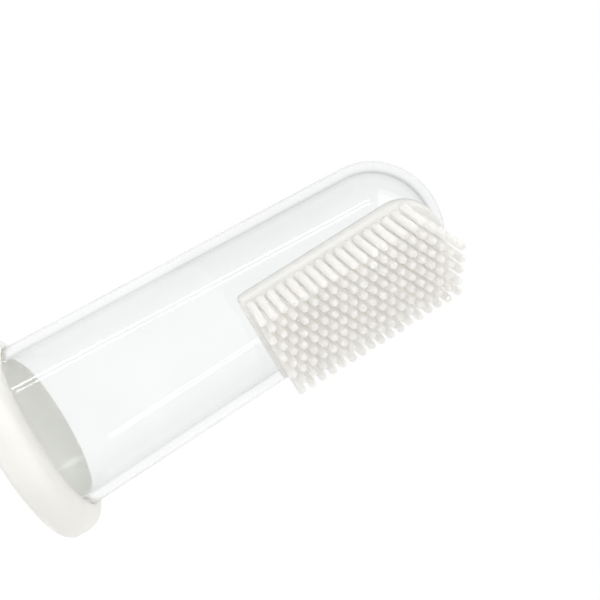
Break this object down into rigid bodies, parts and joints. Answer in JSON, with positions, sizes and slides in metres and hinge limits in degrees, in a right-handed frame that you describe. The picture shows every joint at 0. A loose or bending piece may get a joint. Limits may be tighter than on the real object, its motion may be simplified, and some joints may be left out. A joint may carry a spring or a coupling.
{
  "type": "finger toothbrush",
  "caption": "Clear silicone finger sleeve with a domed tip, a thick rolled cuff at the mouth and a milky pad of soft bristles on one side.",
  "frame": {"origin": "centre of the footprint in the plane of the mouth rim: the bottom centre of the bounding box, 0.768 mm in front of the sleeve's own axis, towards the bristles", "axes": "+Z along the sleeve from the mouth to the domed tip; -Y is the way the bristles point; +X across the brush pad"},
  "size_m": [0.0248, 0.0264, 0.0551],
  "materials": {
    "clear_silicone": "gloss, crystal clear",
    "cuff_silicone": "satin, milky translucent",
    "pad_silicone": "satin, milky translucent",
    "bristle_silicone": "satin, milky translucent"
  },
  "bodies": {
    "sleeve": {"finger_sleeve": "clear_silicone", "cuff_ring": "cuff_silicone", "brush_pad": "pad_silicone"},
    "row_01": {"bristle_row_01": "bristle_silicone"},
    "row_02": {"bristle_row_02": "bristle_silicone"},
    "row_03": {"bristle_row_03": "bristle_silicone"},
    "row_04": {"bristle_row_04": "bristle_silicone"},
    "row_05": {"bristle_row_05": "bristle_silicone"},
    "row_06": {"bristle_row_06": "bristle_silicone"},
    "row_07": {"bristle_row_07": "bristle_silicone"},
    "row_08": {"bristle_row_08": "bristle_silicone"},
    "row_09": {"bristle_row_09": "bristle_silicone"},
    "row_10": {"bristle_row_10": "bristle_silicone"},
    "row_11": {"bristle_row_11": "bristle_silicone"},
    "row_12": {"bristle_row_12": "bristle_silicone"},
    "row_13": {"bristle_row_13": "bristle_silicone"},
    "row_14": {"bristle_row_14": "bristle_silicone"},
    "row_15": {"bristle_row_15": "bristle_silicone"},
    "row_16": {"bristle_row_16": "bristle_silicone"},
    "row_17": {"bristle_row_17": "bristle_silicone"},
    "row_18": {"bristle_row_18": "bristle_silicone"},
    "row_19": {"bristle_row_19": "bristle_silicone"}
  },
  "joints": [
    {"name": "row_01_flex", "type": "hinge", "parent": "sleeve", "child": "row_01", "pos_m": [0, -0.00857, 0.03125], "axis": [1, 0, 0], "range_deg": [-25, 25]},
    {"name": "row_02_flex", "type": "hinge", "parent": "sleeve", "child": "row_02", "pos_m": [0, -0.00852, 0.03246], "axis": [1, 0, 0], "range_deg": [-25, 25]},
    {"name": "row_03_flex", "type": "hinge", "parent": "sleeve", "child": "row_03", "pos_m": [0, -0.00846, 0.03367], "axis": [1, 0, 0], "range_deg": [-25, 25]},
    {"name": "row_04_flex", "type": "hinge", "parent": "sleeve", "child": "row_04", "pos_m": [0, -0.00841, 0.03488], "axis": [1, 0, 0], "range_deg": [-25, 25]},
    {"name": "row_05_flex", "type": "hinge", "parent": "sleeve", "child": "row_05", "pos_m": [0, -0.00835, 0.03609], "axis": [1, 0, 0], "range_deg": [-25, 25]},
    {"name": "row_06_flex", "type": "hinge", "parent": "sleeve", "child": "row_06", "pos_m": [0, -0.0083, 0.0373], "axis": [1, 0, 0], "range_deg": [-25, 25]},
    {"name": "row_07_flex", "type": "hinge", "parent": "sleeve", "child": "row_07", "pos_m": [0, -0.00824, 0.03851], "axis": [1, 0, 0], "range_deg": [-25, 25]},
    {"name": "row_08_flex", "type": "hinge", "parent": "sleeve", "child": "row_08", "pos_m": [0, -0.00818, 0.03972], "axis": [1, 0, 0], "range_deg": [-25, 25]},
    {"name": "row_09_flex", "type": "hinge", "parent": "sleeve", "child": "row_09", "pos_m": [0, -0.00813, 0.04093], "axis": [1, 0, 0], "range_deg": [-25, 25]},
    {"name": "bristle_flex", "type": "hinge", "parent": "sleeve", "child": "row_10", "pos_m": [0, -0.00807, 0.04214], "axis": [1, 0, 0], "range_deg": [-25, 25]},
    {"name": "row_11_flex", "type": "hinge", "parent": "sleeve", "child": "row_11", "pos_m": [0, -0.00802, 0.04335], "axis": [1, 0, 0], "range_deg": [-25, 25]},
    {"name": "row_12_flex", "type": "hinge", "parent": "sleeve", "child": "row_12", "pos_m": [0, -0.00796, 0.04456], "axis": [1, 0, 0], "range_deg": [-25, 25]},
    {"name": "row_13_flex", "type": "hinge", "parent": "sleeve", "child": "row_13", "pos_m": [0, -0.0079, 0.04577], "axis": [1, 0, 0], "range_deg": [-25, 25]},
    {"name": "row_14_flex", "type": "hinge", "parent": "sleeve", "child": "row_14", "pos_m": [0, -0.00785, 0.04698], "axis": [1, 0, 0], "range_deg": [-25, 25]},
    {"name": "row_15_flex", "type": "hinge", "parent": "sleeve", "child": "row_15", "pos_m": [0, -0.00779, 0.04819], "axis": [1, 0, 0], "range_deg": [-25, 25]},
    {"name": "row_16_flex", "type": "hinge", "parent": "sleeve", "child": "row_16", "pos_m": [0, -0.00759, 0.0494], "axis": [1, 0, 0], "range_deg": [-25, 25]},
    {"name": "row_17_flex", "type": "hinge", "parent": "sleeve", "child": "row_17", "pos_m": [0, -0.00717, 0.05061], "axis": [1, 0, 0], "range_deg": [-25, 25]},
    {"name": "row_18_flex", "type": "hinge", "parent": "sleeve", "child": "row_18", "pos_m": [0, -0.00704, 0.05182], "axis": [1, 0, 0], "range_deg": [-25, 25]},
    {"name": "row_19_flex", "type": "hinge", "parent": "sleeve", "child": "row_19", "pos_m": [0, -0.00642, 0.05273], "axis": [1, 0, 0], "range_deg": [-25, 25]}
  ],
  "couplings": [
    {"joint": "row_01_flex", "follows": "bristle_flex", "ratio": 1},
    {"joint": "row_02_flex", "follows": "bristle_flex", "ratio": 1},
    {"joint": "row_03_flex", "follows": "bristle_flex", "ratio": 1},
    {"joint": "row_04_flex", "follows": "bristle_flex", "ratio": 1},
    {"joint": "row_05_flex", "follows": "bristle_flex", "ratio": 1},
    {"joint": "row_06_flex", "follows": "bristle_flex", "ratio": 1},
    {"joint": "row_07_flex", "follows": "bristle_flex", "ratio": 1},
    {"joint": "row_08_flex", "follows": "bristle_flex", "ratio": 1},
    {"joint": "row_09_flex", "follows": "bristle_flex", "ratio": 1},
    {"joint": "row_11_flex", "follows": "bristle_flex", "ratio": 1},
    {"joint": "row_12_flex", "follows": "bristle_flex", "ratio": 1},
    {"joint": "row_13_flex", "follows": "bristle_flex", "ratio": 1},
    {"joint": "row_14_flex", "follows": "bristle_flex", "ratio": 1},
    {"joint": "row_15_flex", "follows": "bristle_flex", "ratio": 1},
    {"joint": "row_16_flex", "follows": "bristle_flex", "ratio": 1},
    {"joint": "row_17_flex", "follows": "bristle_flex", "ratio": 1},
    {"joint": "row_18_flex", "follows": "bristle_flex", "ratio": 1},
    {"joint": "row_19_flex", "follows": "bristle_flex", "ratio": 1}
  ]
}
